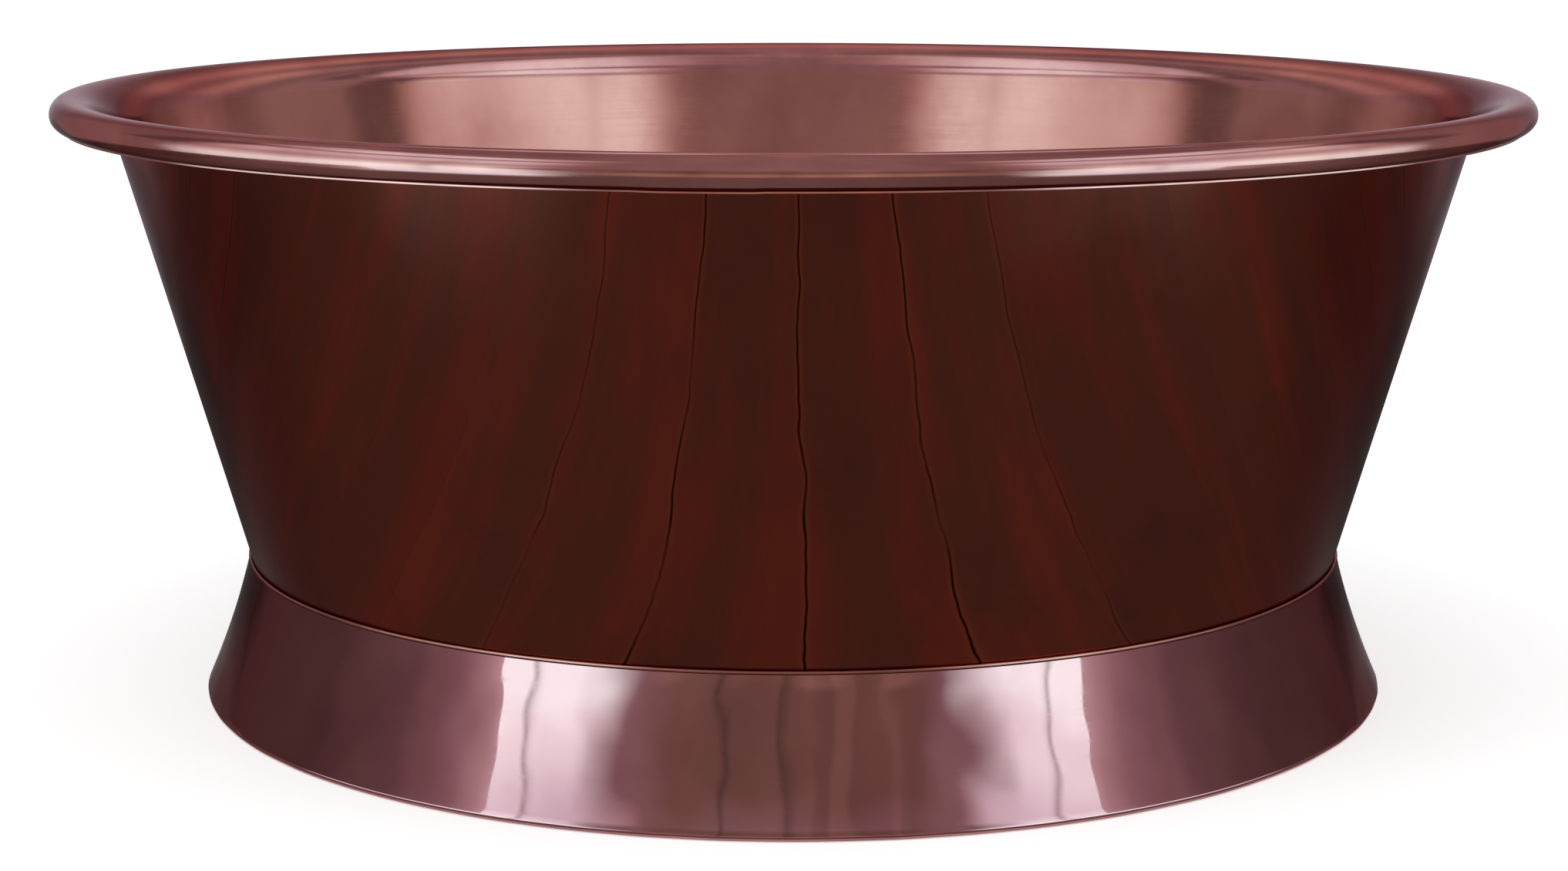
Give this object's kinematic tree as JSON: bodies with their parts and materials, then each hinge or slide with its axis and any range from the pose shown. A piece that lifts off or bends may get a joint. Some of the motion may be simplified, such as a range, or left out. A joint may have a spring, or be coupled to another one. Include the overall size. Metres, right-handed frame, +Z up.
{
  "type": "bathtub",
  "caption": "Round free-standing copper bathtub with a rolled rim, dark patinated wall, flared polished plinth, hidden steel frame, levelling feet and push-to-open waste.",
  "frame": {"origin": "on the floor, at the centre of the round plinth", "axes": "+Z up along the tub's axis; -Y is the side seen in the picture; the two bearers run along X"},
  "size_m": [1.52, 1.5198, 0.625],
  "materials": {
    "polished_copper": "polished copper, lacquered",
    "patinated_copper": "dark red-brown patina outside, polished copper inside",
    "bare_steel": "plain drawn steel",
    "primed_steel": "dark primer",
    "zinc_plated_steel": "zinc plated",
    "black_rubber": "moulded rubber",
    "plain_brass": "turned brass"
  },
  "bodies": {
    "tub": {"tub_wall": "patinated_copper", "tub_cove": "polished_copper", "tub_pan": "polished_copper", "rim_roll": "polished_copper", "rim_core_tube": "bare_steel", "plinth_skirt": "polished_copper", "hem_wire": "bare_steel", "waist_bead": "polished_copper", "base_ring": "primed_steel", "cradle_ring": "primed_steel", "cradle_seat": "black_rubber", "frame_posts": "primed_steel", "bearer_front": "primed_steel", "bearer_back": "primed_steel", "bearer_seats": "black_rubber", "skirt_brackets": "zinc_plated_steel", "bracket_bolts": "zinc_plated_steel", "bracket_nuts": "zinc_plated_steel", "weld_nuts": "zinc_plated_steel", "lock_nuts": "zinc_plated_steel", "waste_flange": "polished_copper", "waste_top_seal": "black_rubber", "waste_bottom_seal": "black_rubber", "waste_slip_washer": "zinc_plated_steel", "waste_back_nut": "plain_brass", "plug_cartridge": "plain_brass", "plug_spring": "bare_steel"},
    "plug": {"plug_stem": "zinc_plated_steel", "plug_cap": "polished_copper", "plug_seal": "black_rubber"},
    "foot_1": {"foot_1_stud": "zinc_plated_steel", "foot_1_pad": "zinc_plated_steel", "foot_1_sole": "black_rubber"},
    "foot_2": {"foot_2_stud": "zinc_plated_steel", "foot_2_pad": "zinc_plated_steel", "foot_2_sole": "black_rubber"},
    "foot_3": {"foot_3_stud": "zinc_plated_steel", "foot_3_pad": "zinc_plated_steel", "foot_3_sole": "black_rubber"},
    "foot_4": {"foot_4_stud": "zinc_plated_steel", "foot_4_pad": "zinc_plated_steel", "foot_4_sole": "black_rubber"}
  },
  "joints": [
    {"name": "plug_slide", "type": "slide", "parent": "tub", "child": "plug", "axis": [0, 0, 1], "range_m": [0, 0.008], "deforming": ["plug_spring"]},
    {"name": "foot_1_slide", "type": "slide", "parent": "tub", "child": "foot_1", "axis": [0, 0, -1], "range_m": [0, 0.015]},
    {"name": "foot_2_slide", "type": "slide", "parent": "tub", "child": "foot_2", "axis": [0, 0, -1], "range_m": [0, 0.015]},
    {"name": "foot_3_slide", "type": "slide", "parent": "tub", "child": "foot_3", "axis": [0, 0, -1], "range_m": [0, 0.015]},
    {"name": "foot_4_slide", "type": "slide", "parent": "tub", "child": "foot_4", "axis": [0, 0, -1], "range_m": [0, 0.015]}
  ]
}
